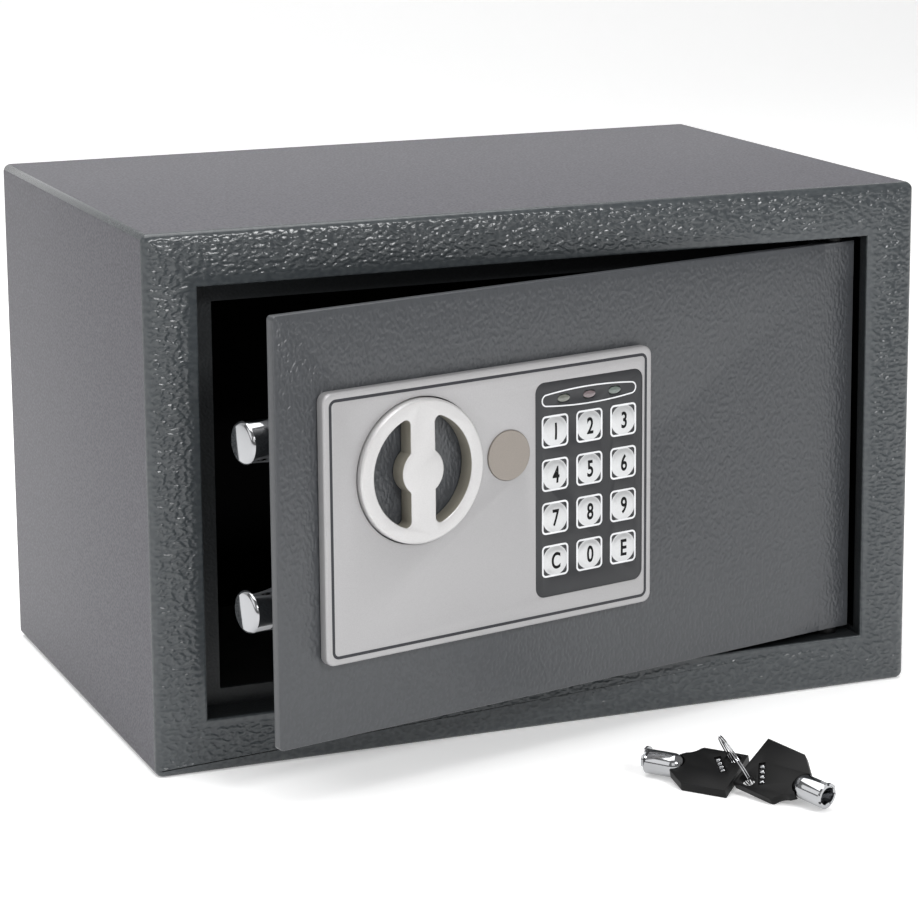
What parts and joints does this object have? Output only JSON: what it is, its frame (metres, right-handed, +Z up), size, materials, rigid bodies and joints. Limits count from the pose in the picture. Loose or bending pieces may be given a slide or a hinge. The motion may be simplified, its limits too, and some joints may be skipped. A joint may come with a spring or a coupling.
{
  "type": "electronic safe",
  "caption": "Small steel safe with a hinged door standing ajar, keypad, turning knob, sliding bolts, covered emergency lock and spare tubular keys.",
  "frame": {"origin": "centre of the cabinet's base, on the surface it stands on", "axes": "+X to the right and +Y to the back as seen from the door, +Z up"},
  "size_m": [0.31, 0.3281, 0.2002],
  "materials": {
    "body_paint": "hammered powder coat",
    "cover_paint": "textured powder coat",
    "zinc_steel": "zinc plated",
    "chrome": "polished chrome plate",
    "black_oxide": "black oxide",
    "black_plastic": "fine moulded grain",
    "white_nylon": "moulded",
    "panel_silver": "satin silver paint on ABS",
    "knob_silver": "satin silver paint on ABS",
    "inlay_black": "satin",
    "keypad_film": "printed satin film",
    "key_silver": "satin silver",
    "lamp_yellow": "clear moulded lens, unlit",
    "lamp_red": "clear moulded lens, unlit",
    "lamp_green": "clear moulded lens, unlit",
    "circuit_board": "solder mask",
    "copper_winding": "enamelled wire",
    "battery_label": "plain sleeve",
    "cap_beige": "satin silver paint over a warm tone",
    "reset_red": "moulded",
    "felt": "needle felt"
  },
  "bodies": {
    "cabinet": {"outer_shell": "body_paint", "back_panel": "body_paint", "hinge_lugs": "body_paint", "hinge_pins": "zinc_steel", "hinge_washers": "black_plastic", "floor_mat": "felt"},
    "door": {"door_plate": "body_paint", "hinge_blocks": "body_paint", "door_cover": "cover_paint", "cover_posts": "zinc_steel", "cover_screws": "black_oxide", "side_plug": "black_oxide", "bolt_bushes": "black_plastic", "control_panel": "panel_silver", "panel_inlay": "inlay_black", "keypad_plate": "keypad_film", "lamp_left": "lamp_yellow", "lamp_middle": "lamp_red", "lamp_right": "lamp_green", "keypad_board": "circuit_board", "lock_barrel": "zinc_steel", "lock_nut": "zinc_steel", "solenoid_frame": "zinc_steel", "solenoid_coil": "copper_winding", "plunger_spring": "zinc_steel", "battery_case": "black_plastic", "battery_cells": "battery_label", "battery_contacts": "zinc_steel", "knob_bush": "white_nylon", "reset_switch": "black_plastic"},
    "knob": {"knob": "knob_silver", "knob_shaft": "zinc_steel", "knob_crank": "zinc_steel"},
    "bolt_carriage": {"bolt_plate": "zinc_steel", "bolt_upper": "chrome", "bolt_lower": "chrome", "bolt_screws": "zinc_steel"},
    "blocking_plunger": {"blocking_plunger": "zinc_steel"},
    "lock_cap": {"lock_cap": "cap_beige"},
    "lock_plug": {"lock_plug": "zinc_steel", "lock_cam": "zinc_steel"},
    "reset_button": {"reset_button": "reset_red"},
    "battery_cover": {"battery_cover": "black_plastic"},
    "spare_keys": {"spare_key_tube_a": "chrome", "spare_key_head_a": "black_plastic", "spare_key_tube_b": "chrome", "spare_key_head_b": "black_plastic", "spare_key_ring": "chrome"},
    "key_1": {"key_1": "key_silver"},
    "key_2": {"key_2": "key_silver"},
    "key_3": {"key_3": "key_silver"},
    "key_4": {"key_4": "key_silver"},
    "key_5": {"key_5": "key_silver"},
    "key_6": {"key_6": "key_silver"},
    "key_7": {"key_7": "key_silver"},
    "key_8": {"key_8": "key_silver"},
    "key_9": {"key_9": "key_silver"},
    "key_c": {"key_c": "key_silver"},
    "key_0": {"key_0": "key_silver"},
    "key_e": {"key_e": "key_silver"}
  },
  "joints": [
    {"name": "door_swing", "type": "hinge", "parent": "cabinet", "child": "door", "pos_m": [0.125, -0.089, 0.1], "axis": [0, 0, 1], "range_deg": [-13, 92]},
    {"name": "knob_turn", "type": "hinge", "parent": "door", "child": "knob", "pos_m": [-0.06856, -0.1419, 0.1165], "axis": [-0.225, 0.9744, 0], "range_deg": [0, 90]},
    {"name": "bolt_slide", "type": "slide", "parent": "door", "child": "bolt_carriage", "axis": [0.9744, 0.225, 0], "range_m": [0, 0.01979]},
    {"name": "plunger_slide", "type": "slide", "parent": "door", "child": "blocking_plunger", "axis": [0, 0, 1], "range_m": [-0.005, 0]},
    {"name": "lock_cap_pull", "type": "slide", "parent": "door", "child": "lock_cap", "axis": [0.225, -0.9744, 0], "range_m": [0, 0.02]},
    {"name": "lock_turn", "type": "hinge", "parent": "door", "child": "lock_plug", "pos_m": [-0.03233, -0.12635, 0.1165], "axis": [-0.225, 0.9744, 0], "range_deg": [0, 90]},
    {"name": "reset_press", "type": "slide", "parent": "door", "child": "reset_button", "axis": [0.225, -0.9744, 0], "range_m": [0, 0.0015], "stiffness_N_per_m": 400},
    {"name": "battery_cover_pull", "type": "slide", "parent": "door", "child": "battery_cover", "axis": [-0.225, 0.9744, 0], "range_m": [0, 0.03]},
    {"name": "spare_keys_lift", "type": "slide", "parent": "cabinet", "child": "spare_keys", "axis": [0, 0, 1], "range_m": [0, 0.1]},
    {"name": "press_1", "type": "slide", "parent": "door", "child": "key_1", "axis": [-0.225, 0.9744, 0], "range_m": [0, 0.0007], "stiffness_N_per_m": 600},
    {"name": "press_2", "type": "slide", "parent": "door", "child": "key_2", "axis": [-0.225, 0.9744, 0], "range_m": [0, 0.0007], "stiffness_N_per_m": 600},
    {"name": "press_3", "type": "slide", "parent": "door", "child": "key_3", "axis": [-0.225, 0.9744, 0], "range_m": [0, 0.0007], "stiffness_N_per_m": 600},
    {"name": "press_4", "type": "slide", "parent": "door", "child": "key_4", "axis": [-0.225, 0.9744, 0], "range_m": [0, 0.0007], "stiffness_N_per_m": 600},
    {"name": "press_5", "type": "slide", "parent": "door", "child": "key_5", "axis": [-0.225, 0.9744, 0], "range_m": [0, 0.0007], "stiffness_N_per_m": 600},
    {"name": "press_6", "type": "slide", "parent": "door", "child": "key_6", "axis": [-0.225, 0.9744, 0], "range_m": [0, 0.0007], "stiffness_N_per_m": 600},
    {"name": "press_7", "type": "slide", "parent": "door", "child": "key_7", "axis": [-0.225, 0.9744, 0], "range_m": [0, 0.0007], "stiffness_N_per_m": 600},
    {"name": "press_8", "type": "slide", "parent": "door", "child": "key_8", "axis": [-0.225, 0.9744, 0], "range_m": [0, 0.0007], "stiffness_N_per_m": 600},
    {"name": "press_9", "type": "slide", "parent": "door", "child": "key_9", "axis": [-0.225, 0.9744, 0], "range_m": [0, 0.0007], "stiffness_N_per_m": 600},
    {"name": "press_c", "type": "slide", "parent": "door", "child": "key_c", "axis": [-0.225, 0.9744, 0], "range_m": [0, 0.0007], "stiffness_N_per_m": 600},
    {"name": "press_0", "type": "slide", "parent": "door", "child": "key_0", "axis": [-0.225, 0.9744, 0], "range_m": [0, 0.0007], "stiffness_N_per_m": 600},
    {"name": "press_e", "type": "slide", "parent": "door", "child": "key_e", "axis": [-0.225, 0.9744, 0], "range_m": [0, 0.0007], "stiffness_N_per_m": 600}
  ],
  "couplings": [
    {"joint": "knob_turn", "follows": "bolt_slide", "rad_per_m": 79.365}
  ]
}
